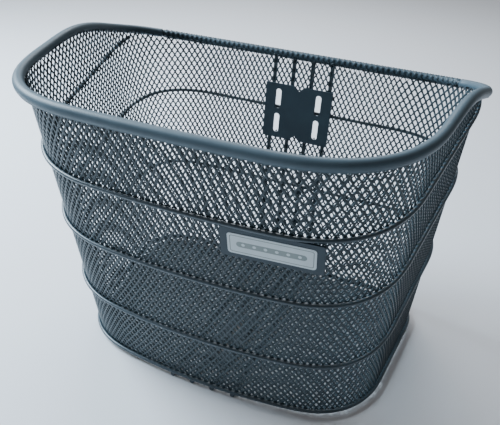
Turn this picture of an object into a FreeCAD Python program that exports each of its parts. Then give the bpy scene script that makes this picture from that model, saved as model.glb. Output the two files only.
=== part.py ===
import FreeCAD, Part
import math
import os

import Sketcher
from FreeCAD import Placement, Rotation, Vector

# Handlebar basket of expanded steel mesh on a wire frame. Millimetres, +Z up.
# The straight rear wall (+Y) carries the bracket plate; the bowed front faces -Y.
# Origin: middle of the footprint, at the underside of the stay wires.

os.makedirs("parts", exist_ok=True)
doc = FreeCAD.newDocument("basket")

DIMENSIONS = [
    # alias, value, meaning
    ("rear_y", 141.7, "middle of the rear wall's mesh"),
    ("base_z", 6.1, "centre of the base ring wire"),
    ("wall_top_z", 276.1, "level at which the top outline is given"),
    ("base_rear_half", 166.7, "half width of the base outline at the rear"),
    ("base_front_half", 143.2, "half width of the base outline at the front"),
    ("base_depth", 198.7, "depth of the base outline at its front corners"),
    ("base_bow", 19.3, "how far the base outline's front bows out"),
    ("base_rear_corner", 56.9, "tangent length of the base's rear corners"),
    ("base_front_corner", 58.8, "tangent length of the base's front corners"),
    ("top_rear_half", 187.9, "half width of the top outline at the rear"),
    ("top_front_half", 142.1, "half width of the top outline at the front"),
    ("top_depth", 276.4, "depth of the top outline at its front corners"),
    ("top_bow", 7.2, "how far the top outline's front bows out"),
    ("top_rear_corner", 90.5, "tangent length of the top's rear corners"),
    ("top_front_corner", 74.9, "tangent length of the top's front corners"),
    ("rim_out", 4.4, "rim centre line outside the top outline"),
    ("mesh_t", 1.2, "thickness of the expanded mesh"),
    ("ring_d", 3.4, "diameter of the ring wires"),
    ("stay_d", 4.5, "diameter of the stay wires"),
    ("stay_pitch", 20.5, "spacing of the stay wires"),
    ("stay_bend_r", 4.6, "bend radius of the stays at the floor"),
    ("weld_in", 0.2, "how far touching pieces sink into each other at welds"),
    ("rim_d", 8.6, "diameter of the rim rail"),
    ("rear_rim_d", 9.0, "diameter of the rolled rear rim"),
    ("rear_rim_z", 259.6, "centre height of the rear rim"),
    ("bracket_w", 73.0, "width of the upper bracket plate"),
    ("bracket_h", 60.0, "height of the upper bracket plate"),
    ("bracket_t", 2.0, "thickness of the upper bracket plate"),
    ("bracket_z", 199.1, "centre height of the upper bracket plate"),
    ("notch_w", 11.0, "width of the V notches"),
    ("notch_h", 5.2, "depth of the V notches"),
    ("slot_w", 6.2, "width of the bracket slots"),
    ("slot_len", 22.0, "end to end length of the bracket slots"),
    ("slot_pitch_x", 44.0, "spacing of the slots across"),
    ("slot_pitch_z", 27.2, "spacing of the slots up the plate"),
    ("floor_plate_w", 27.0, "width of the floor bracket plate"),
    ("floor_plate_len", 72.0, "length of the floor bracket plate"),
    ("floor_plate_t", 2.0, "thickness of the floor bracket plate"),
    ("floor_plate_y", -9.0, "centre of the floor bracket plate"),
    ("floor_slot_w", 7.0, "width of its slots"),
    ("floor_slot_len", 28.0, "end to end length of its slots"),
    ("floor_slot_pitch", 33.0, "spacing of its slots along"),
    ("badge_x", 68.6, "centre of the badge, right of the middle"),
    ("badge_y", -121.2, "where the badge's back touches the wall"),
    ("badge_z", 199.8, "centre height of the badge"),
    ("badge_turn", 4.0, "degrees the badge turns with the wall's corner"),
    ("badge_lean", 13.5, "degrees it leans out with the wall"),
    ("badge_tilt", 1.5, "degrees it rises to the right"),
    ("badge_w", 74.0, "width of the badge plate"),
    ("badge_h", 27.0, "height of the badge plate"),
    ("badge_t", 1.6, "thickness of the badge plate"),
    ("badge_r", 1.5, "corner radius of the badge plate"),
    ("label_w", 63.0, "width of the label"),
    ("label_h", 19.0, "height of the label"),
    ("label_t", 0.4, "thickness of the label"),
    ("label_r", 2.5, "corner radius of the label"),
    ("label_sink", 0.05, "how far the label sinks into its plate"),
]

sheet = doc.addObject("Spreadsheet::Sheet", "Dimensions")
for row, (alias, value, meaning) in enumerate(DIMENSIONS, start=1):
    sheet.set(f"A{row}", alias)
    sheet.set(f"B{row}", str(value))
    sheet.set(f"C{row}", meaning)
    sheet.setAlias(f"B{row}", alias)
doc.recompute()


def dim(name):
    """A driving dimension, read back from the sheet."""
    return float(sheet.get(name))


FLOOR_Z = dim("stay_d") - dim("weld_in")  # underside of the floor mesh
RIM_GRIP = 0.6  # the mesh ends this far below the rim's centre line, in its inner flank
RIM_PROFILE = [(0.0, 277.1), (0.3, 283.9), (0.55, 289.3), (0.75, 274.7), (0.9, 266.0)]
UPPER_RING_END = 236.0  # length of the upper ring to the rear, where it meets the rim rail
RINGS = {  # name: centre heights at the front and at the rear
    "upper_ring_wire": (214.0, 275.2),
    "middle_ring_wire": (148.7, 202.7),
    "lower_ring_wire": (72.6, 113.5),
}
OUTLINE_KEYS = ("rear_half", "front_half", "depth", "bow", "rear_corner", "front_corner")
WALL_LOW, WALL_HIGH = 4.5, 300.0  # levels the wall is lofted between, before trimming


# ---------------------------------------------------------------- shared shape of the walls

def section(z, out=0.0):
    """Outline sizes at height z, moved outwards by out. They change evenly with height."""
    share = (z - dim("base_z")) / (dim("wall_top_z") - dim("base_z"))
    size = {
        k: dim("base_" + k) * (1 - share) + dim("top_" + k) * share for k in OUTLINE_KEYS
    }
    size["rear_half"] += out
    size["front_half"] += out
    size["depth"] += 2 * out
    size["rear_corner"] += out
    size["front_corner"] += out
    size["rear_y"] = dim("rear_y") + out
    return size


def outline(size):
    """The outline's eight pieces, each as two or three plan-view poles, from the rear line on
    round the right side, the front and back up the left side."""
    back, wide, narrow = size["rear_y"], size["rear_half"], size["front_half"]
    front, bow = back - size["depth"], size["bow"]
    side = Vector(narrow - wide, -size["depth"], 0).normalize()
    rear_corner, front_corner = Vector(wide, back, 0), Vector(narrow, front, 0)
    a = Vector(wide - size["rear_corner"], back, 0)
    b = rear_corner + side * size["rear_corner"]
    c = front_corner - side * size["front_corner"]
    x = narrow - size["front_corner"]
    d = Vector(x, front - bow * (1 - (x / narrow) ** 2), 0)
    slope = 2 * bow * x / narrow**2
    # where the side line meets the front's tangent at d
    reach = (d.y - front_corner.y - slope * (d.x - front_corner.x)) / (side.y - slope * side.x)
    corner = front_corner + side * reach
    middle = Vector(0, d.y - slope * x, 0)

    def mirrored(v):
        return Vector(-v.x, v.y, 0)

    right = [[a, rear_corner, b], [b, c], [c, corner, d]]
    left = [[mirrored(v) for v in reversed(piece)] for piece in reversed(right)]
    return [[mirrored(a), a]] + right + [[d, middle, mirrored(d)]] + left


def along(poles, t):
    """Point at t on a straight or parabolic piece."""
    if len(poles) == 2:
        return poles[0] * (1 - t) + poles[1] * t
    return poles[0] * (1 - t) ** 2 + poles[1] * (2 * t * (1 - t)) + poles[2] * t**2


def sampled(size, steps=8):
    """Points round the outline, starting and ending at the middle of the front."""
    loop = [along(p, i / steps) for p in outline(size) for i in range(steps)]
    start = 4 * steps + steps // 2  # the front is the fifth piece
    return loop[start:] + loop[: start + 1]


def on_plane(front_z, rear_z, out):
    """The wall's outline in the sloping plane that is at front_z in front, rear_z behind."""
    low, high = sampled(section(WALL_LOW, out)), sampled(section(WALL_HIGH, out))
    front_y = section(front_z, out)["rear_y"] - section(front_z, out)["depth"]
    front_y -= section(front_z, out)["bow"]
    rise = (rear_z - front_z) / (dim("rear_y") + out - front_y)
    points = []
    for p, q in zip(low, high):
        z_low = front_z + rise * (p.y - front_y)
        z_high = front_z + rise * (q.y - front_y)
        share = (z_low - WALL_LOW) / (WALL_HIGH - WALL_LOW - (z_high - z_low))
        plan = p * (1 - share) + q * share
        points.append(Vector(plan.x, plan.y, WALL_LOW + share * (WALL_HIGH - WALL_LOW)))
    return points, front_y, rise


def smooth(values, share):
    """Height at share of the way to the rear, on a smooth curve through (share, height)."""
    curve = Part.BSplineCurve()
    curve.interpolate([Vector(s * 100, h, 0) for s, h in values])
    hit = curve.intersect(Part.Line(Vector(share * 100, 0, 0), Vector(share * 100, 1, 0)))
    return hit[0].Y


# ---------------------------------------------------------------- modelling helpers

def body(name):
    made = doc.addObject("PartDesign::Body", name)
    made.Label = name
    return made


def plane(owner, role):
    return next(f for f in owner.Origin.OriginFeatures if f.Role == role)


def sketch(owner, name, role, offset=None):
    made = owner.newObject("Sketcher::SketchObject", name)
    made.AttachmentSupport = [(plane(owner, role), "")]
    made.MapMode = "FlatFace"
    if offset is not None:
        made.AttachmentOffset = offset
    return made


def add_outline(target, size):
    """Draws the outline in a sketch, its pieces joined end to end."""
    pieces = outline(size)
    for poles in pieces:
        if len(poles) == 2:
            target.addGeometry(Part.LineSegment(*poles), False)
        else:
            curve = Part.BSplineCurve()
            curve.buildFromPolesMultsKnots(poles, [3, 3], [0, 1], False, 2)
            target.addGeometry(curve, False)


def add_polygon(target, points):
    for i, (x, y) in enumerate(points):
        nx, ny = points[(i + 1) % len(points)]
        target.addGeometry(Part.LineSegment(Vector(x, y, 0), Vector(nx, ny, 0)), False)


def add_slot(target, x, y, width, length):
    """A slot with round ends, running along the sketch's second axis."""
    r, h = width / 2, (length - width) / 2
    target.addGeometry(Part.LineSegment(Vector(x - r, y - h, 0), Vector(x - r, y + h, 0)), False)
    target.addGeometry(Part.LineSegment(Vector(x + r, y - h, 0), Vector(x + r, y + h, 0)), False)
    for centre, start in ((y + h, 0), (y - h, math.pi)):
        circle = Part.Circle(Vector(x, centre, 0), Vector(0, 0, 1), r)
        target.addGeometry(Part.ArcOfCircle(circle, start, start + math.pi), False)


def add_circle(target, x, y, diameter):
    """A circle with its diameter bound to the sheet."""
    circle = Part.Circle(Vector(x, y, 0), Vector(0, 0, 1), dim(diameter) / 2)
    index = target.addGeometry(circle, False)
    number = target.addConstraint(Sketcher.Constraint("Diameter", index, dim(diameter)))
    target.renameConstraint(number, "wire_d")
    target.setExpression("Constraints.wire_d", "Dimensions." + diameter)


def slot_centres(pitch_x, pitch_y):
    return [(sx * dim(pitch_x) / 2, sy * dim(pitch_y) / 2) for sx in (-1, 1) for sy in (-1, 1)]


def pad(owner, profile, alias):
    made = owner.newObject("PartDesign::Pad", owner.Name + "_pad")
    made.Profile = profile
    made.setExpression("Length", "Dimensions." + alias)
    owner.Tip = made
    return made


def pipe(owner, path, profile):
    made = owner.newObject("PartDesign::AdditivePipe", owner.Name + "_pipe")
    made.Profile = profile
    made.Spine = path
    owner.Tip = made
    return made


def level(z):
    return Placement(Vector(0, 0, z), Rotation())


def shell(owner, inner_out, outer_out, low, high):
    """A thin wall between two offsets of the outline, lofted evenly from low to high."""
    for kind, out in (("AdditiveLoft", outer_out), ("SubtractiveLoft", inner_out)):
        ends = []
        for z in (low, high):
            name = f"{owner.Name}_{kind}_{'low' if z == low else 'high'}"
            ends.append(sketch(owner, name, "XY_Plane", level(z)))
            add_outline(ends[-1], section(z, out))
        loft = owner.newObject("PartDesign::" + kind, f"{owner.Name}_{kind}")
        loft.Profile, loft.Sections, loft.Ruled = ends[0], [ends[1]], True
        owner.Tip = loft
        doc.recompute()


# ---------------------------------------------------------------- mesh panels

half_t = dim("mesh_t") / 2
wall = body("wall_mesh")
shell(wall, -half_t, half_t, WALL_LOW, WALL_HIGH)

# The upper edge follows the rim: level in front, highest halfway back, low at the rear wall.
front_y = dim("rear_y") - dim("top_depth") - dim("top_bow")
profile = RIM_PROFILE + [(1.0, dim("rear_rim_z"))]
edge = sketch(wall, "wall_trim", "YZ_Plane")
above, beyond = 340.0, 60.0
edge_points = [
    Vector(front_y + s * (dim("rear_y") - front_y), smooth(profile, s) - RIM_GRIP, 0)
    for s in [i / 20 for i in range(21)]
]
first = Vector(front_y - beyond, edge_points[0].y, 0)
last = Vector(dim("rear_y") + beyond, edge_points[-1].y, 0)
curve = Part.BSplineCurve()
curve.interpolate(edge_points)
edge.addGeometry(curve, False)
corners = [edge_points[-1], last, Vector(last.x, above, 0), Vector(first.x, above, 0), first,
           edge_points[0]]
for p, q in zip(corners, corners[1:]):
    edge.addGeometry(Part.LineSegment(p, q), False)
trim = wall.newObject("PartDesign::Pocket", "wall_trim_cut")
trim.Profile, trim.Type, trim.Midplane = edge, "ThroughAll", True
wall.Tip = trim

slots = sketch(wall, "wall_slots", "XZ_Plane", Placement(Vector(0, 0, -100), Rotation()))
for x, z in slot_centres("slot_pitch_x", "slot_pitch_z"):
    add_slot(slots, x, dim("bracket_z") + z, dim("slot_w"), dim("slot_len"))
cut = wall.newObject("PartDesign::Pocket", "wall_slots_cut")
cut.Profile, cut.Length = slots, 60.0
wall.Tip = cut

floor = body("floor_mesh")
floor_slots = [dim("floor_plate_y") + side * dim("floor_slot_pitch") / 2 for side in (-1, 1)]
plan = sketch(floor, "floor_outline", "XY_Plane", level(FLOOR_Z))
add_outline(plan, section(FLOOR_Z, half_t - dim("weld_in")))
pad(floor, plan, "mesh_t")
holes = sketch(floor, "floor_slots", "XY_Plane", level(FLOOR_Z + dim("mesh_t")))
for y in floor_slots:
    add_slot(holes, 0, y, dim("floor_slot_w"), dim("floor_slot_len"))
cut = floor.newObject("PartDesign::Pocket", "floor_slots_cut")
cut.Profile = holes
cut.setExpression("Length", "Dimensions.mesh_t * 2")
floor.Tip = cut

# ---------------------------------------------------------------- ring wires round the outside

def ring(name, front_z, rear_z, closed):
    """A wire bent round the wall in a sloping plane and welded to its outside."""
    owner = body(name)
    out = half_t + dim("ring_d") / 2 - dim("weld_in")
    points, front, rise = on_plane(front_z, rear_z, out)
    slant = math.atan(rise)
    offset = Placement(Vector(0, front, front_z), Rotation(Vector(1, 0, 0), math.degrees(slant)))
    path = sketch(owner, name + "_path", "XY_Plane", offset)
    flat = [Vector(p.x, (p.y - front) / math.cos(slant), 0) for p in points]
    line = Part.BSplineCurve()
    if closed:
        line.interpolate(flat[:-1], PeriodicFlag=True)
    else:
        half = flat[: len(flat) // 2]
        line.interpolate([p for p in half if p.y <= UPPER_RING_END])
    path.addGeometry(line, False)
    round_ = sketch(owner, name + "_section", "YZ_Plane")
    add_circle(round_, front, front_z, "ring_d")
    made = pipe(owner, path, round_)
    if not closed:
        doc.recompute()
        other = owner.newObject("PartDesign::Mirrored", name + "_mirrored")
        other.Originals = [made]
        other.MirrorPlane = (plane(owner, "YZ_Plane"), [""])
        owner.Tip = other
    return owner


for name, (front_z, rear_z) in RINGS.items():
    ring(name, front_z, rear_z, name != "upper_ring_wire")
ring("base_ring_wire", dim("base_z"), dim("base_z"), True)

# ---------------------------------------------------------------- rim

steps = 12
loop = sampled(section(dim("wall_top_z"), dim("rim_out")), steps)
front_most, rear_most = min(p.y for p in loop), max(p.y for p in loop)
rim_points = [
    Vector(p.x, p.y, smooth(profile, (p.y - front_most) / (rear_most - front_most)))
    for p in loop
]
# The rail runs from a joint in one rear corner round the front to a joint in the other. The
# mesh's edge, rolled round a rod, makes the rim from joint to joint along the rear.
joint = len(loop) // 2 + steps // 2 + 5  # five twelfths of the way round the right rear corner
first_joint = len(loop) - 1 - joint
halves = {
    "rim_rail": (rim_points[joint:-1] + rim_points[: first_joint + 1], "rim_d"),
    "rear_rim_rod": (rim_points[first_joint : joint + 1], "rear_rim_d"),
}
for name, (points, diameter) in halves.items():
    curve = Part.BSplineCurve()
    curve.interpolate(points)
    line = doc.addObject("Part::Feature", name + "_line")
    line.Shape = curve.toShape()
    circle = doc.addObject("Part::Circle", name + "_section")
    circle.setExpression("Radius", f"Dimensions.{diameter} / 2")
    start = curve.tangent(curve.FirstParameter)[0]
    circle.Placement = Placement(points[0], Rotation(Vector(0, 0, 1), start))
    sweep = doc.addObject("Part::Sweep", name)
    sweep.Sections, sweep.Spine = [circle], (line, ["Edge1"])
    sweep.Solid, sweep.Frenet = True, False

# ---------------------------------------------------------------- stay wires

ring_out = half_t + dim("ring_d") - dim("weld_in")  # outside of the rings, from the mesh's middle
stay_y = dim("rear_y") + ring_out - dim("weld_in") + dim("stay_d") / 2
stay_top = dim("rear_rim_z") - 3.6
stay_z, bend = dim("stay_d") / 2, dim("stay_bend_r")
stays = [(i - 1.5) * dim("stay_pitch") for i in range(4)]
for number, x in enumerate(stays, start=1):
    owner = body(f"stay_wire_{number}")
    base = section(dim("base_z"), half_t + dim("ring_d") / 2 - dim("weld_in"))
    front_end = base["rear_y"] - base["depth"] - base["bow"] * (1 - (x / base["front_half"]) ** 2)
    path = sketch(owner, owner.Name + "_path", "YZ_Plane", level(x))
    arc = Part.Circle(Vector(stay_y - bend, stay_z + bend, 0), Vector(0, 0, 1), bend)
    path.addGeometry(
        [
            Part.LineSegment(Vector(stay_y, stay_top, 0), Vector(stay_y, stay_z + bend, 0)),
            Part.ArcOfCircle(arc, -math.pi / 2, 0),
            Part.LineSegment(Vector(stay_y - bend, stay_z, 0), Vector(front_end, stay_z, 0)),
        ],
        False,
    )
    round_ = sketch(owner, owner.Name + "_section", "XY_Plane", level(stay_top))
    add_circle(round_, x, stay_y, "stay_d")
    pipe(owner, path, round_)

# ---------------------------------------------------------------- bracket plates

upper = body("upper_bracket_plate")
face_y = dim("rear_y") - half_t + dim("weld_in") / 2
front = sketch(upper, "upper_bracket_outline", "XZ_Plane", level(-face_y))
w, h, z = dim("bracket_w") / 2, dim("bracket_h") / 2, dim("bracket_z")
nw, nh = dim("notch_w") / 2, dim("notch_h")
add_polygon(front, [
    (-w, z - h), (-nw, z - h), (0, z - h + nh), (nw, z - h), (w, z - h),
    (w, z + h), (nw, z + h), (0, z + h - nh), (-nw, z + h), (-w, z + h),
])
for sx, sz in slot_centres("slot_pitch_x", "slot_pitch_z"):
    add_slot(front, sx, z + sz, dim("slot_w"), dim("slot_len"))
pad(upper, front, "bracket_t")

lower = body("floor_bracket_plate")
plan = sketch(lower, "floor_bracket_outline", "XY_Plane",
              level(FLOOR_Z + dim("mesh_t") - dim("weld_in") / 2))
w, length, y = dim("floor_plate_w") / 2, dim("floor_plate_len") / 2, dim("floor_plate_y")
add_polygon(plan, [(-w, y - length), (w, y - length), (w, y + length), (-w, y + length)])
for slot_y in floor_slots:
    add_slot(plan, 0, slot_y, dim("floor_slot_w"), dim("floor_slot_len"))
pad(lower, plan, "floor_plate_t")

# ---------------------------------------------------------------- badge

def add_rounded(target, w, h, r):
    """A rectangle with rounded corners, w by h about the sketch's origin."""
    x, y = w / 2 - r, h / 2 - r
    corners = [(x, y, 0.0), (-x, y, 0.5), (-x, -y, 1.0), (x, -y, 1.5)]
    for i, (cx, cy, start) in enumerate(corners):
        circle = Part.Circle(Vector(cx, cy, 0), Vector(0, 0, 1), r)
        begin = start * math.pi
        target.addGeometry(Part.ArcOfCircle(circle, begin, begin + math.pi / 2), False)
        nx, ny, _ = corners[(i + 1) % 4]
        out = Vector(math.cos(begin + math.pi / 2), math.sin(begin + math.pi / 2), 0) * r
        line = Part.LineSegment(Vector(cx, cy, 0) + out, Vector(nx, ny, 0) + out)
        target.addGeometry(line, False)


# Both are flat. They lean with the wall, touch it in the middle and run along the upper ring.
badge_turn = (
    Rotation(Vector(0, 0, 1), dim("badge_turn"))
    * Rotation(Vector(1, 0, 0), dim("badge_lean"))
    * Rotation(Vector(0, 1, 0), -dim("badge_tilt"))
)
badge_place = Placement(Vector(dim("badge_x"), dim("badge_y"), dim("badge_z")), badge_turn)
for name, prefix, lift in (
    ("badge_plate", "badge", 0.0),
    ("badge_label", "label", dim("badge_t") - dim("label_sink")),
):
    owner = body(name)
    owner.Placement = badge_place
    face = sketch(owner, name + "_outline", "XZ_Plane", level(lift))
    add_rounded(face, dim(prefix + "_w"), dim(prefix + "_h"), dim(prefix + "_r"))
    pad(owner, face, prefix + "_t")

doc.recompute()

# ---------------------------------------------------------------- export

NODES = [
    "rim_rail", "rear_rim_rod", "wall_mesh", "floor_mesh", *RINGS, "base_ring_wire",
    *(f"stay_wire_{i}" for i in range(1, 5)), "upper_bracket_plate", "floor_bracket_plate",
    "badge_plate", "badge_label",
]
faults = [o.Name for o in doc.Objects if {"Invalid", "Error"} & set(o.State)]
for name in NODES:
    node = doc.getObject(name)
    node.Label = name
    if node.Shape.isNull() or not node.Shape.isValid() or len(node.Shape.Solids) != 1:
        faults.append(name)
    else:
        node.Shape.exportStep(f"parts/{name}.step")
if faults:
    raise RuntimeError("not valid: " + ", ".join(faults))
for name in NODES:
    shape = doc.getObject(name).Shape
    b = shape.optimalBoundingBox(False, False)
    limits = (b.XMin, b.XMax, b.YMin, b.YMax, b.ZMin, b.ZMax)
    print(name, round(shape.Volume), "mm3", [round(v, 1) for v in limits])
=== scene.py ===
import math

import bmesh
import bpy
import numpy as np
from mathutils import Matrix, Vector


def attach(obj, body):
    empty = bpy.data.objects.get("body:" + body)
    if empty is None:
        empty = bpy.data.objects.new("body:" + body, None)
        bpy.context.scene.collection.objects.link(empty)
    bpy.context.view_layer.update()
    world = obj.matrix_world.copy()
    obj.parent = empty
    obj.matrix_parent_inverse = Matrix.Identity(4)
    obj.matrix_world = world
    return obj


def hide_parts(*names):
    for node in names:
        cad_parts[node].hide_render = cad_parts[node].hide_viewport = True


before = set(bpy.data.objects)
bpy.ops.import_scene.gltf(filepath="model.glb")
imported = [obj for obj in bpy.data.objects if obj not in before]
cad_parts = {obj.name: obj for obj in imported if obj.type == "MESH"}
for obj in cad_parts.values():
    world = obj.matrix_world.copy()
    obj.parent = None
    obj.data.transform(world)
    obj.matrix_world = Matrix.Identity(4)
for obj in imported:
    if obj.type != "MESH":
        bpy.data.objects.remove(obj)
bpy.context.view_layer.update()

MM = 0.001

# ------------------------------------------------------------------ the basket's shape, in mm
# The same outline rules as the frame's: a straight rear, tangent corners and a bowed front,
# changing evenly from the base to the top.
REAR_Y, BASE_Z, TOP_Z = 141.7, 6.1, 276.1
BASE = dict(rear=166.7, front=143.2, depth=198.7, bow=19.3, rear_corner=56.9,
            front_corner=58.8)
TOP = dict(rear=187.9, front=142.1, depth=276.4, bow=7.2, rear_corner=90.5, front_corner=74.9)
RIM_OUT, RIM_R = 4.4, 4.3
RIM_KNOTS = ([0.0, 0.3, 0.45, 0.55, 0.75, 0.9, 1.0],
             [277.1, 284.3, 289.4, 287.8, 275.9, 266.7, 259.6])
LOW_Z, HIGH_Z = 4.5, 300.0
STEPS = 24  # samples along each of the outline's eight pieces


def section(z, out=0.0):
    """Outline sizes at a height, moved outwards by out, and where the rear line then lies."""
    share = (z - BASE_Z) / (TOP_Z - BASE_Z)
    s = {k: BASE[k] * (1 - share) + TOP[k] * share for k in BASE}
    s["rear"] += out
    s["front"] += out
    s["depth"] += 2 * out
    s["rear_corner"] += out
    s["front_corner"] += out
    return s, REAR_Y + out


def outline(z, out=0.0):
    """Plan points round the outline from the rear's left end; the same count at every height."""
    s, back = section(z, out)
    front = back - s["depth"]
    side = np.array([s["front"] - s["rear"], -s["depth"]])
    side = side / np.linalg.norm(side)
    rear_c, front_c = np.array([s["rear"], back]), np.array([s["front"], front])
    a = np.array([s["rear"] - s["rear_corner"], back])
    b = rear_c + side * s["rear_corner"]
    c = front_c - side * s["front_corner"]
    x = s["front"] - s["front_corner"]
    d = np.array([x, front - s["bow"] * (1 - (x / s["front"]) ** 2)])
    slope = 2 * s["bow"] * x / s["front"] ** 2
    reach = (d[1] - front_c[1] - slope * (d[0] - front_c[0])) / (side[1] - slope * side[0])
    corner = front_c + side * reach
    middle = np.array([0.0, d[1] - slope * x])
    flip = np.array([-1.0, 1.0])
    right = [[a, rear_c, b], [b, (b + c) / 2, c], [c, corner, d]]
    left = [[p * flip for p in reversed(piece)] for piece in reversed(right)]
    pieces = [[a * flip, (a * flip + a) / 2, a]] + right + [[d, middle, d * flip]] + left
    t = np.arange(STEPS)[:, None] / STEPS
    return np.concatenate([p[0] * (1 - t) ** 2 + p[1] * 2 * t * (1 - t) + p[2] * t**2
                           for p in pieces])


def distances(points):
    """How far along the line of points each one lies."""
    return np.concatenate([[0], np.cumsum(np.linalg.norm(np.diff(points, axis=0), axis=1))])


class Wall:
    """The ruled surface of the walls. A place on it is (s, z): s runs round the mid-height
    outline in mm from the middle of the front, over the right side to the rear and back."""

    def __init__(self):
        front = 4 * STEPS + STEPS // 2  # the middle of the front, in outline()'s order

        def from_front(loop):
            loop = np.roll(np.roll(loop, -front, axis=0)[::-1], 1, axis=0)
            return np.concatenate([loop, loop[:1]])

        self.low, self.high = from_front(outline(LOW_Z)), from_front(outline(HIGH_Z))
        self.at = distances((self.low + self.high) / 2)
        self.length = self.at[-1]

    def point(self, s, z):
        s = np.mod(s, self.length)
        share = (z - LOW_Z) / (HIGH_Z - LOW_Z)
        x = np.interp(s, self.at, self.low[:, 0]) * (1 - share)
        x += np.interp(s, self.at, self.high[:, 0]) * share
        y = np.interp(s, self.at, self.low[:, 1]) * (1 - share)
        y += np.interp(s, self.at, self.high[:, 1]) * share
        return np.stack([x, y, z + 0 * x], axis=-1)

    def normal(self, s, z):
        """Direction out of the basket at (s, z)."""
        along = self.point(s + 1.5, z) - self.point(s - 1.5, z)
        up = self.point(s, z + 1.0) - self.point(s, z - 1.0)
        n = np.cross(along, up)
        return n / np.linalg.norm(n, axis=-1, keepdims=True)


def spline(knots, values, x):
    """Height at x on the natural cubic spline through the knots."""
    k, v = np.array(knots), np.array(values)
    n = len(k)
    h = np.diff(k)
    rows, known = np.zeros((n, n)), np.zeros(n)
    rows[0, 0] = rows[-1, -1] = 1
    for i in range(1, n - 1):
        rows[i, i - 1], rows[i, i], rows[i, i + 1] = h[i - 1], 2 * (h[i - 1] + h[i]), h[i]
        known[i] = 6 * ((v[i + 1] - v[i]) / h[i] - (v[i] - v[i - 1]) / h[i - 1])
    m = np.linalg.solve(rows, known)  # the curve's second derivative at each knot
    i = np.clip(np.searchsorted(k, x) - 1, 0, n - 2)
    p, q = k[i + 1] - x, x - k[i]
    bend = (m[i] * p**3 + m[i + 1] * q**3) / (6 * h[i])
    return (bend + (v[i] / h[i] - m[i] * h[i] / 6) * p
            + (v[i + 1] / h[i] - m[i + 1] * h[i] / 6) * q)


wall = Wall()
FRONT_Y = REAR_Y - TOP["depth"] - TOP["bow"]


def rim_z(y):
    """Height of the rim's centre line above a plan position."""
    return spline(*RIM_KNOTS, np.clip((y - FRONT_Y) / (REAR_Y - FRONT_Y), 0, 1))


# ------------------------------------------------------------------ mesh helpers

def piece(name, verts, faces, replaces=(), slot=None, smooth=True):
    """A mesh piece, riding on the one body, from points in mm."""
    me = bpy.data.meshes.new(name)
    verts = np.asarray(verts, np.float32) * MM
    me.from_pydata(verts.tolist(), [], faces)
    me.validate()
    if smooth:
        me.polygons.foreach_set("use_smooth", np.ones(len(me.polygons), bool))
    ob = bpy.data.objects.new(name, me)
    bpy.context.scene.collection.objects.link(ob)
    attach(ob, "root")
    if replaces:
        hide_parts(*replaces)
    return ob


def round_section(radius, sides):
    angle = np.arange(sides) * 2 * np.pi / sides
    return np.stack([np.cos(angle), np.sin(angle)], axis=1) * radius


def tube(path, shape):
    """Points and faces of a rod along an open path. shape holds the section's (out, up) points."""
    tan = np.roll(path, -1, axis=0) - np.roll(path, 1, axis=0)
    tan[0], tan[-1] = path[1] - path[0], path[-1] - path[-2]
    tan /= np.linalg.norm(tan, axis=1, keepdims=True)
    out = np.cross(tan, (0.0, 0.0, 1.0))
    out /= np.linalg.norm(out, axis=1, keepdims=True)
    up = np.cross(out, tan)
    n, m = len(path), len(shape)
    verts = path[:, None] + out[:, None] * shape[None, :, :1] + up[:, None] * shape[None, :, 1:]
    faces = [(i * m + k, (i + 1) * m + k, (i + 1) * m + l, i * m + l)
             for i in range(n - 1) for k, l in zip(range(m), [*range(1, m), 0])]
    faces += [tuple(range(m)), tuple((n - 1) * m + k for k in reversed(range(m)))]
    return verts.reshape(-1, 3), faces


# Diamonds of the expanded sheet, in mm: their pitch, and the thin, twisted strands round them.
CELL_W, CELL_H = 5.5, 9.5
STRAND, SHEET_T, TWIST = 1.25, 1.10, 0.18


def hole_corners(width, height, strand):
    """The opening in a diamond, as a six-sided ring of (x, y), starting at its right corner."""
    reach = width * height / 2 / math.hypot(width, height)
    share = 1 - strand / 2 / reach
    a, b = width / 2 * share, height / 2 * share
    cut = 0.80
    return [(a, 0), (a * (1 - cut), b * cut), (-a * (1 - cut), b * cut), (-a, 0),
            (-a * (1 - cut), -b * cut), (a * (1 - cut), -b * cut)]


def expanded(place, columns, rows, keep, strand=STRAND, thick=SHEET_T, twist=TWIST):
    """Points and faces of expanded metal over a lattice of half diamonds. place(x, y, d) gives
    the point at sheet position x, y and height d above the sheet's middle. keep(x, y) picks the
    diamonds."""
    hole = hole_corners(CELL_W, CELL_H, strand)
    joints = {}  # lattice points shared by neighbouring diamonds, by column, row and side
    flat, faces = [], []

    def joint(i, j, side):
        if (i, j, side) not in joints:
            joints[i, j, side] = len(flat)
            flat.append((i * CELL_W / 2, j * CELL_H / 2, side * thick / 2))
        return joints[i, j, side]

    cells = [(i, j) for j in range(*rows) for i in range(*columns)
             if (i + j) % 2 == 0 and keep(i * CELL_W / 2, j * CELL_H / 2)]
    around = [[[joint(i + di, j + dj, side) for di, dj in ((1, 0), (0, 1), (-1, 0), (0, -1))]
               for side in (1, -1)] for i, j in cells]
    lifts = [twist * share for share in (1, 0.5, -0.5, -1, -0.5, 0.5)]
    for (i, j), (over, under) in zip(cells, around):
        start = len(flat)
        for side in (1, -1):
            flat += [(i * CELL_W / 2 + x, j * CELL_H / 2 + y, side * thick / 2 + lift)
                     for (x, y), lift in zip(hole, lifts)]
        for (r, t, l, b), first, side in ((over, start, 1), (under, start + 6, -1)):
            q = range(first, first + 6)
            made = [(r, t, q[1], q[0]), (t, q[2], q[1]), (t, l, q[3], q[2]),
                    (l, b, q[4], q[3]), (b, q[5], q[4]), (b, r, q[0], q[5])]
            faces += made if side == 1 else [f[::-1] for f in made]
        for k in range(6):
            m = (k + 1) % 6
            faces.append((start + k, start + m, start + 6 + m, start + 6 + k))
    flat = np.array(flat, float)
    return place(flat[:, 0], flat[:, 1], flat[:, 2]), faces


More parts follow.
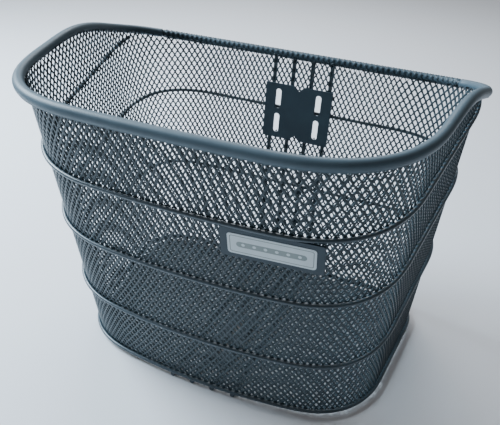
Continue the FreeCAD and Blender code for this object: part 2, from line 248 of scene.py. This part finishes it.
# ------------------------------------------------------------------ wall mesh
COLUMNS = 2 * round(wall.length / CELL_W)  # half columns round the wall
PITCH = wall.length / COLUMNS * 2
HALF = wall.length / 2
BRACKET_Z = 199.1
ROW_SLOPE = 0.11  # how far the rows climb per mm at the rear seam: a flat sheet on a taper
FIRST_ROW_Z, ROWS = -20, 74  # the lattice starts below the wall and is trimmed to it


def climb(s):
    """Rows of the wrapped sheet sag in front and climb towards the seam in the rear."""
    t = np.mod(s + HALF, wall.length) - HALF
    return 0.5 * ROW_SLOPE * t**2 / HALF


def wall_place(x, y, d):
    """The point of the wall at sheet position x, y, kept between its foot and the rim."""
    s = x * PITCH / CELL_W
    z = y + climb(s) + FIRST_ROW_Z
    on = wall.point(s, z)
    top = rim_z(on[..., 1]) - 0.6
    z = np.clip(z, LOW_Z, top)
    return wall.point(s, z) + wall.normal(s, z) * d[..., None]


def wall_keep(x, y):
    """Whether a diamond lies on the wall and clear of the bracket's slots."""
    s = np.array([x * PITCH / CELL_W])
    z = y + climb(s) + FIRST_ROW_Z
    at_x, at_y, _ = wall.point(s, z)[0]
    by_slot = at_y > REAR_Y - 1 and abs(abs(at_x) - 22.0) < 5.4 and abs(z[0] - BRACKET_Z) < 26.0
    return LOW_Z - 1.5 < z[0] < rim_z(at_y) - 1.5 and not by_slot


def panel(name, first, last):
    """Part of the wall between two distances round it."""
    i0, i1 = round(first / PITCH) * 2, round(last / PITCH) * 2
    verts, faces = expanded(wall_place, (i0, i1), (0, ROWS), wall_keep)
    return piece(name, verts, faces, ["wall_mesh"], "mesh_paint")


# The four panels meet on the sides and towards the rear corners.
spots = [wall.length * share for share in (0.145, 0.345, 0.655, 0.855)]
mesh_pieces = [
    panel("wall_mesh_front", spots[3] - wall.length, spots[0]),
    panel("wall_mesh_right", spots[0], spots[1]),
    panel("wall_mesh_rear", spots[1], spots[2]),
    panel("wall_mesh_left", spots[2], spots[3]),
]

# ------------------------------------------------------------------ floor mesh
FLOOR_Z, FLOOR_PLATE_Y = 4.9, -9.0
floor_edge = outline(FLOOR_Z, 0.4)
centre = np.array([0.0, floor_edge[:, 1].mean()])
edge_angle = np.arctan2(floor_edge[:, 1] - centre[1], floor_edge[:, 0])
edge_reach = np.hypot(floor_edge[:, 0], floor_edge[:, 1] - centre[1])
by_angle = np.argsort(edge_angle)


def floor_reach(x, y):
    return np.interp(np.arctan2(y - centre[1], x), edge_angle[by_angle], edge_reach[by_angle],
                     period=2 * np.pi)


def floor_place(x, y, d):
    """The point of the floor at x, y, pulled in to the floor's edge where it lies outside."""
    r, most = np.hypot(x, y - centre[1]), floor_reach(x, y)
    pull = np.minimum(1, most / np.maximum(r, 1e-6))
    return np.stack([x * pull, centre[1] + (y - centre[1]) * pull, FLOOR_Z + d], axis=-1)


def floor_keep(x, y):
    """Whether a diamond lies on the floor and clear of the floor plate's slots."""
    if abs(x) < 4.6 and abs(y - FLOOR_PLATE_Y) < 29.0:
        return False
    return math.hypot(x, y - centre[1]) < floor_reach(x, y) + 1.5


verts, faces = expanded(floor_place, (-64, 65), (-20, 34), floor_keep)
floor_mesh = piece("floor_mesh_sheet", verts, faces, ["floor_mesh"], "mesh_paint")
mesh_pieces.append(floor_mesh)

# ------------------------------------------------------------------ rim
def resampled(points, step):
    """The same line with points about step apart."""
    at = distances(points)
    q = np.linspace(0, at[-1], max(3, int(at[-1] / step)))
    return np.column_stack([np.interp(q, at, points[:, k]) for k in range(3)])


plan = outline(TOP_Z, RIM_OUT)
share = (plan[:, 1] - plan[:, 1].min()) / (plan[:, 1].max() - plan[:, 1].min())
rim_line = np.column_stack([plan, spline(*RIM_KNOTS, share)])
joint = STEPS + STEPS * 5 // 12  # in the right rear corner; the other is its mirror image
other = len(rim_line) - (joint - STEPS)
rail_line = resampled(rim_line[joint : other + 1], 2.5)
rear_line = resampled(np.concatenate([rim_line[other:], rim_line[: joint + 1]]), 2.5)

# The rail is a rolled strip: round, with its hemmed edge showing low down on the outside.
angle = np.radians(np.concatenate([np.arange(-52, 290, 12.0), [296, 299, 304]]))
radius = np.full(len(angle), RIM_R)
radius[0] = RIM_R + 0.02
radius[-3:] = [RIM_R - 0.40, RIM_R + 0.45, RIM_R + 0.50]
shape = np.stack([-np.cos(angle), np.sin(angle)], axis=1)[::-1] * radius[::-1, None]
verts, faces = tube(rail_line, shape)
rim = piece("rim_rail_tube", verts, faces, ["rim_rail"], "rail_paint")

# The core under the rolled mesh. Further down it gets the darker mesh enamel, as painted shade
# seen through the roll's openings.
verts, faces = tube(rear_line, round_section(3.45, 18))
rod = piece("rear_rim_core", verts, faces, ["rear_rim_rod"], "rail_paint")
ROLL_R = 3.9
rear_at = distances(rear_line)
rear_tan = np.gradient(rear_line, axis=0)
rear_tan /= np.linalg.norm(rear_tan, axis=1, keepdims=True)
rear_in = np.cross(rear_tan, [0, 0, 1.0])
rear_in /= np.linalg.norm(rear_in, axis=1, keepdims=True)
rear_up = np.cross(rear_in, rear_tan)


def roll_place(x, y, d):
    """The point at x along the rear rod and y round it."""
    s = np.clip(x + rear_at[-1] / 2, 0, rear_at[-1])
    on = lambda table: np.column_stack([np.interp(s, rear_at, table[:, k]) for k in range(3)])
    turn = (y / ROLL_R + 0.15)[:, None]
    r = (ROLL_R + d * 0.8)[:, None]
    return on(rear_line) + on(rear_in) * r * np.cos(turn) + on(rear_up) * r * np.sin(turn)


# The rolled mesh round the core. Further down it gets the paler rail enamel, as painted light on
# its top-lit rolls.
ends = int(rear_at[-1] / CELL_W)
verts, faces = expanded(roll_place, (-ends - 1, ends + 2), (-1, 5),
                        lambda x, y: abs(x) < rear_at[-1] / 2 - CELL_W / 2,
                        strand=1.9, thick=1.0, twist=0.42)
roll = piece("rear_rim_rolled_mesh", verts, faces, ["rear_rim_rod"], "rail_paint")

# ------------------------------------------------------------------ plates and badge
def rounded(w, h, r, at=(0.0, 0.0), steps=6):
    """A rectangle with rounded corners, or a slot when r is half its width."""
    points = []
    for cx, cy, start in ((w / 2 - r, h / 2 - r, 0), (r - w / 2, h / 2 - r, 90),
                          (r - w / 2, r - h / 2, 180), (w / 2 - r, r - h / 2, 270)):
        for i in range(steps + 1):
            a = math.radians(start + 90 * i / steps)
            points.append((at[0] + cx + r * math.cos(a), at[1] + cy + r * math.sin(a)))
    return points


def slab(name, outer, holes, thick, place, bevel, node=None, slot=None):
    """A plate cut from sheet: loops in its own x and z, thickness towards -y, soft edges."""
    bm = bmesh.new()
    for loop in [outer] + holes:
        ring = [bm.verts.new((x, 0, z)) for x, z in loop]
        for i, v in enumerate(ring):
            bm.edges.new((v, ring[(i + 1) % len(ring)]))
    bmesh.ops.triangle_fill(bm, use_beauty=True, use_dissolve=False, edges=bm.edges[:],
                            normal=(0, 1, 0))
    back = bm.faces[:]
    made = bmesh.ops.extrude_face_region(bm, geom=back)
    moved = [v for v in made["geom"] if isinstance(v, bmesh.types.BMVert)]
    bmesh.ops.translate(bm, verts=moved, vec=(0, -thick, 0))
    bmesh.ops.recalc_face_normals(bm, faces=bm.faces[:])
    flat = [e for e in bm.edges if len(e.link_faces) == 2 and e.calc_face_angle() > 1.0]
    if bevel:
        bmesh.ops.bevel(bm, geom=flat, offset=bevel, segments=2, profile=0.5, affect="EDGES",
                        clamp_overlap=True)
    bm.transform(place)
    me = bpy.data.meshes.new(name)
    bm.to_mesh(me)
    bm.free()
    verts = [v.co[:] for v in me.vertices]
    faces = [tuple(p.vertices) for p in me.polygons]
    bpy.data.meshes.remove(me)
    return piece(name, verts, faces, [node] if node else (), slot, smooth=False)


def turned(x, y, z):
    return (Matrix.Rotation(math.radians(z), 4, "Z") @ Matrix.Rotation(math.radians(x), 4, "X")
            @ Matrix.Rotation(math.radians(y), 4, "Y"))


w, h, nw, nh = 36.5, 30.0, 5.5, 5.2
slots = [rounded(6.2, 22.0, 3.1, (sx * 22.0, sz * 13.6)) for sx in (-1, 1) for sz in (-1, 1)]
notched = [(-w, -h), (-nw, -h), (0, nh - h), (nw, -h), (w, -h),
           (w, h), (nw, h), (0, h - nh), (-nw, h), (-w, h)]
upper_plate = slab("upper_bracket_sheet", notched, slots, 2.0,
                   Matrix.Translation((0, REAR_Y - 0.5, BRACKET_Z)), 0.35,
                   "upper_bracket_plate", "plate_paint")
slots = [rounded(7.0, 28.0, 3.5, (0, side * 16.5)) for side in (-1, 1)]
floor_plate = slab("floor_bracket_sheet", rounded(27.0, 72.0, 1.0), slots, 2.0,
                   Matrix.Translation((0, FLOOR_PLATE_Y, 5.4)) @ turned(-90, 0, 0), 0.35,
                   "floor_bracket_plate", "plate_paint")
badge_at = Matrix.Translation((68.6, -121.2, 199.8)) @ turned(13.5, -1.5, 4.0)
badge_plate = slab("badge_backing", rounded(74.0, 27.0, 1.5), [], 1.6, badge_at, 0.35,
                   "badge_plate", "plate_paint")
lift = lambda d: badge_at @ Matrix.Translation((0, -d, 0))
label = slab("badge_label_film", rounded(63.0, 19.0, 2.5), [], 0.4, lift(1.55), 0.12,
             "badge_label", "label")
# A plain pattern of its own: a fine frame, and a soft band carrying a row of dots.
frame_line = slab("badge_label_frame", rounded(59.6, 15.6, 1.6), [rounded(58.4, 14.4, 1.2)],
                  0.03, lift(1.94), 0, None, "label")
dots = [rounded(2.6, 2.6, 1.3, (-20 + 8 * i, 0)) for i in range(6)]
band = slab("badge_label_band", rounded(50.0, 5.2, 2.6), dots, 0.03, lift(1.94), 0, None,
            "label")

# ------------------------------------------------------------------ materials

def nodes_for(name):
    mat = bpy.data.materials.new(name)
    mat.use_nodes = True
    nt = mat.node_tree
    shader = nt.nodes["Principled BSDF"]
    return mat, nt, shader


def paint(name, colour, light, rough=0.38, scale=60.0, bump=0.05, gloss_coat=0.25, shine=0.5):
    """Thick enamel on steel: orange peel, uneven gloss, and a slightly paler tone in random
    patches.
    """
    mat, nt, shader = nodes_for(name)
    coords = nt.nodes.new("ShaderNodeTexCoord")
    cloud = nt.nodes.new("ShaderNodeTexNoise")
    cloud.inputs["Scale"].default_value = scale
    cloud.inputs["Detail"].default_value = 5.0
    nt.links.new(coords.outputs["Object"], cloud.inputs["Vector"])
    ramp = nt.nodes.new("ShaderNodeValToRGB")
    ramp.color_ramp.elements[0].position = 0.30
    ramp.color_ramp.elements[0].color = (*colour, 1)
    ramp.color_ramp.elements[1].position = 0.75
    ramp.color_ramp.elements[1].color = (*light, 1)
    nt.links.new(cloud.outputs["Fac"], ramp.inputs["Fac"])
    nt.links.new(ramp.outputs["Color"], shader.inputs["Base Color"])
    gloss = nt.nodes.new("ShaderNodeMapRange")
    gloss.inputs["To Min"].default_value = rough - 0.07
    gloss.inputs["To Max"].default_value = rough + 0.12
    nt.links.new(cloud.outputs["Fac"], gloss.inputs["Value"])
    nt.links.new(gloss.outputs["Result"], shader.inputs["Roughness"])
    peel = nt.nodes.new("ShaderNodeTexNoise")
    peel.inputs["Scale"].default_value = 900.0
    peel.inputs["Detail"].default_value = 2.0
    nt.links.new(coords.outputs["Object"], peel.inputs["Vector"])
    relief = nt.nodes.new("ShaderNodeBump")
    relief.inputs["Strength"].default_value = bump
    relief.inputs["Distance"].default_value = 0.0004
    nt.links.new(peel.outputs["Fac"], relief.inputs["Height"])
    nt.links.new(relief.outputs["Normal"], shader.inputs["Normal"])
    shader.inputs["Metallic"].default_value = 0.0
    shader.inputs["Specular IOR Level"].default_value = shine
    shader.inputs["Coat Weight"].default_value = gloss_coat
    shader.inputs["Coat Roughness"].default_value = 0.25
    return mat


rail_paint = paint("rail_enamel", (0.054, 0.085, 0.107), (0.066, 0.104, 0.129), rough=0.46,
                   gloss_coat=0.04, shine=0.36)
wire_paint = paint("wire_enamel", (0.026, 0.046, 0.060), (0.036, 0.060, 0.076), rough=0.33)
mesh_paint = paint("mesh_enamel", (0.024, 0.041, 0.051), (0.038, 0.062, 0.075), rough=0.42,
                   gloss_coat=0.05, shine=0.38)
plate_paint = paint("plate_enamel", (0.020, 0.036, 0.049), (0.026, 0.046, 0.060), rough=0.45,
                    gloss_coat=0.05, shine=0.35)


def label_film():
    mat, nt, shader = nodes_for("label_film")
    coords = nt.nodes.new("ShaderNodeTexCoord")
    noise = nt.nodes.new("ShaderNodeTexNoise")
    noise.inputs["Scale"].default_value = 120.0
    nt.links.new(coords.outputs["Object"], noise.inputs["Vector"])
    ramp = nt.nodes.new("ShaderNodeValToRGB")
    ramp.color_ramp.elements[0].color = (0.52, 0.60, 0.63, 1)
    ramp.color_ramp.elements[1].color = (0.62, 0.69, 0.71, 1)
    nt.links.new(noise.outputs["Fac"], ramp.inputs["Fac"])
    nt.links.new(ramp.outputs["Color"], shader.inputs["Base Color"])
    shader.inputs["Roughness"].default_value = 0.3
    return mat


label_paint = label_film()
ink = paint("label_ink", (0.20, 0.25, 0.25), (0.24, 0.29, 0.28), rough=0.4)
for ob in mesh_pieces:
    ob.data.materials.clear()
    ob.data.materials.append(mesh_paint)
for ob in (upper_plate, floor_plate, badge_plate):
    ob.data.materials.clear()
    ob.data.materials.append(plate_paint)
label.data.materials.append(label_paint)
for ob in (frame_line, band):
    ob.data.materials.append(ink)
# The rolled rear-rim mesh takes the paler rail enamel as painted light on its top-lit rolls. The
# core under it takes the darker mesh enamel as painted shade in the roll's openings.
for ob, mat in ((rim, rail_paint), (rod, mesh_paint), (roll, rail_paint)):
    ob.data.materials.clear()
    ob.data.materials.append(mat)
finish_of = {
    "upper_ring_wire": wire_paint, "middle_ring_wire": wire_paint, "lower_ring_wire": wire_paint,
    "base_ring_wire": wire_paint, "stay_wire_1": wire_paint, "stay_wire_2": wire_paint,
    "stay_wire_3": wire_paint, "stay_wire_4": wire_paint, "upper_bracket_plate": plate_paint,
    "floor_bracket_plate": plate_paint, "badge_plate": plate_paint, "badge_label": label_paint,
}
for name, mat in finish_of.items():
    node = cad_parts[name]
    for slot_ in node.material_slots:
        slot_.material = mat

# ------------------------------------------------------------------ stage, light, camera

def stage():
    me = bpy.data.meshes.new("floor_sheet")
    z, r = -0.0002, 15.0
    me.from_pydata([(-r, -r, z), (r, -r, z), (r, r, z), (-r, r, z)], [], [(0, 1, 2, 3)])
    ground = bpy.data.objects.new("floor_sheet", me)
    bpy.context.scene.collection.objects.link(ground)
    mat, nt, shader = nodes_for("floor_paper")
    shader.inputs["Base Color"].default_value = (0.71, 0.72, 0.745, 1)
    shader.inputs["Roughness"].default_value = 0.75
    ground.data.materials.append(mat)


def lamp(name, place, target, size, power, colour):
    data = bpy.data.lights.new(name, "AREA")
    data.shape, data.size, data.energy, data.color = "DISK", size, power, colour
    ob = bpy.data.objects.new(name, data)
    ob.location = place
    ob.rotation_euler = (Vector(target) - Vector(place)).to_track_quat("-Z", "Y").to_euler()
    bpy.context.scene.collection.objects.link(ob)


stage()
lamp("window_light", (-1.15, 0.0, 1.05), (-0.25, 0.15, 0.05), 0.9, 66, (0.70, 0.86, 1.0))
lamp("ceiling_light", (-0.5, 1.2, 1.5), (-0.3, 0.7, 0), 1.2, 22, (0.93, 0.96, 1.0))

# A room that is bright overhead and to the left, and dim to the right.
world = bpy.data.worlds.new("studio")
bpy.context.scene.world = world
world.use_nodes = True
sky = world.node_tree
where = sky.nodes.new("ShaderNodeTexCoord")
toward = sky.nodes.new("ShaderNodeVectorMath")
toward.operation = "DOT_PRODUCT"
toward.inputs[1].default_value = (-0.50, 0.30, 0.81)
sky.links.new(where.outputs["Generated"], toward.inputs[0])
shade = sky.nodes.new("ShaderNodeValToRGB")
shade.color_ramp.elements[0].position = 0.0
shade.color_ramp.elements[0].color = (0.13, 0.13, 0.13, 1)
shade.color_ramp.elements[1].position = 0.9
shade.color_ramp.elements[1].color = (0.96, 0.95, 0.95, 1)
sky.links.new(toward.outputs["Value"], shade.inputs["Fac"])
sky.links.new(shade.outputs["Color"], sky.nodes["Background"].inputs["Color"])
sky.nodes["Background"].inputs["Strength"].default_value = 0.54

CAM_AT = Vector((168.0, -441.7, 417.3)) * MM
YAW, PITCH_DOWN, ROLL = map(math.radians, (20.07, 29.59, 4.31))
FOCAL = 42.57
ahead = Vector((-math.sin(YAW) * math.cos(PITCH_DOWN), math.cos(YAW) * math.cos(PITCH_DOWN),
                -math.sin(PITCH_DOWN)))
right = Vector((math.cos(YAW), math.sin(YAW), 0))
up = right.cross(ahead)
right2 = right * math.cos(ROLL) + up * math.sin(ROLL)
up2 = up * math.cos(ROLL) - right * math.sin(ROLL)
cam_data = bpy.data.cameras.new("camera")
cam_data.sensor_width = 36.0
cam_data.lens = FOCAL
cam = bpy.data.objects.new("camera", cam_data)
cam.matrix_world = Matrix((
    (right2.x, up2.x, -ahead.x, CAM_AT.x),
    (right2.y, up2.y, -ahead.y, CAM_AT.y),
    (right2.z, up2.z, -ahead.z, CAM_AT.z),
    (0, 0, 0, 1),
))
bpy.context.scene.collection.objects.link(cam)
bpy.context.scene.camera = cam
